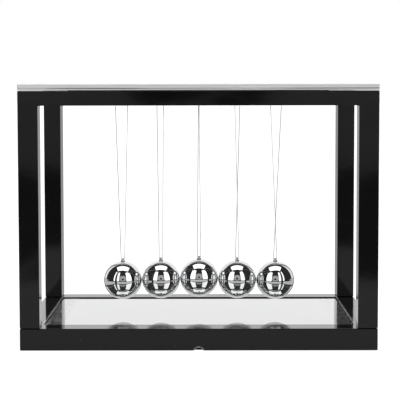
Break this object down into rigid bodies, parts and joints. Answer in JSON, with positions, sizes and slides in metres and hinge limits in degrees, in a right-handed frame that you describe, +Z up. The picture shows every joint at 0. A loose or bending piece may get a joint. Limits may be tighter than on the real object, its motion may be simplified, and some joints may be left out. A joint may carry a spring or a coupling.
{
  "type": "newtons cradle",
  "caption": "Desk toy: a row of polished steel balls, each hung on a V of clear line between two glossy black arches that stand on a black base with a mirror top.",
  "frame": {"origin": "centre of the footprint on the standing surface, under the middle ball", "axes": "+X along the row of balls, -Y towards the front arch, +Z up"},
  "size_m": [0.175, 0.123, 0.1304],
  "materials": {
    "gloss_black": "moulded, high gloss, faint wipe marks",
    "satin_silver": "satin silver strip, brushed along its length",
    "mirror": "polished, bevelled edges",
    "foam_tape": "white foam tape, matt",
    "matte_black": "fine moulded texture",
    "pad_rubber": "matt rubber pad",
    "screw_steel": "zinc plated",
    "polished_steel": "mirror polished ball",
    "eye_steel": "steel stud with a round collar and a drilled tab",
    "nylon_line": "translucent nylon line, pale grey"
  },
  "bodies": {
    "stand": {"base_frame": "gloss_black", "mirror_plate": "mirror", "mirror_tape_left": "foam_tape", "mirror_tape_right": "foam_tape", "bottom_cover": "matte_black", "front_arch": "gloss_black", "rear_arch": "gloss_black", "front_rail_cap": "satin_silver", "rear_rail_cap": "satin_silver", "foot_pad_front_left": "pad_rubber", "foot_pad_front_right": "pad_rubber", "foot_pad_rear_left": "pad_rubber", "foot_pad_rear_right": "pad_rubber", "arch_screw_front_left": "screw_steel", "arch_screw_front_right": "screw_steel", "arch_screw_rear_left": "screw_steel", "arch_screw_rear_right": "screw_steel", "cover_screw_front_left": "screw_steel", "cover_screw_front_right": "screw_steel", "cover_screw_rear_left": "screw_steel", "cover_screw_rear_right": "screw_steel", "knot_front_1": "nylon_line", "knot_front_2": "nylon_line", "knot_front_3": "nylon_line", "knot_front_4": "nylon_line", "knot_front_5": "nylon_line", "knot_rear_1": "nylon_line", "knot_rear_2": "nylon_line", "knot_rear_3": "nylon_line", "knot_rear_4": "nylon_line", "knot_rear_5": "nylon_line"},
    "ball_1_hung": {"ball_1": "polished_steel", "eye_1": "eye_steel", "strand_1": "nylon_line"},
    "ball_2_hung": {"ball_2": "polished_steel", "eye_2": "eye_steel", "strand_2": "nylon_line"},
    "ball_3_hung": {"ball_3": "polished_steel", "eye_3": "eye_steel", "strand_3": "nylon_line"},
    "ball_4_hung": {"ball_4": "polished_steel", "eye_4": "eye_steel", "strand_4": "nylon_line"},
    "ball_5_hung": {"ball_5": "polished_steel", "eye_5": "eye_steel", "strand_5": "nylon_line"}
  },
  "joints": [
    {"name": "ball_1_swing", "type": "hinge", "parent": "stand", "child": "ball_1_hung", "pos_m": [-0.0404, 0, 0.1197], "axis": [0, 1, 0], "range_deg": [0, 60]},
    {"name": "ball_2_swing", "type": "hinge", "parent": "stand", "child": "ball_2_hung", "pos_m": [-0.0202, 0, 0.1197], "axis": [0, 1, 0], "range_deg": [-0.03, 0.03]},
    {"name": "ball_3_swing", "type": "hinge", "parent": "stand", "child": "ball_3_hung", "pos_m": [0, 0, 0.1197], "axis": [0, 1, 0], "range_deg": [-0.03, 0.03]},
    {"name": "ball_4_swing", "type": "hinge", "parent": "stand", "child": "ball_4_hung", "pos_m": [0.0202, 0, 0.1197], "axis": [0, 1, 0], "range_deg": [-0.03, 0.03]},
    {"name": "ball_5_swing", "type": "hinge", "parent": "stand", "child": "ball_5_hung", "pos_m": [0.0404, 0, 0.1197], "axis": [0, 1, 0], "range_deg": [-60, 0]}
  ]
}
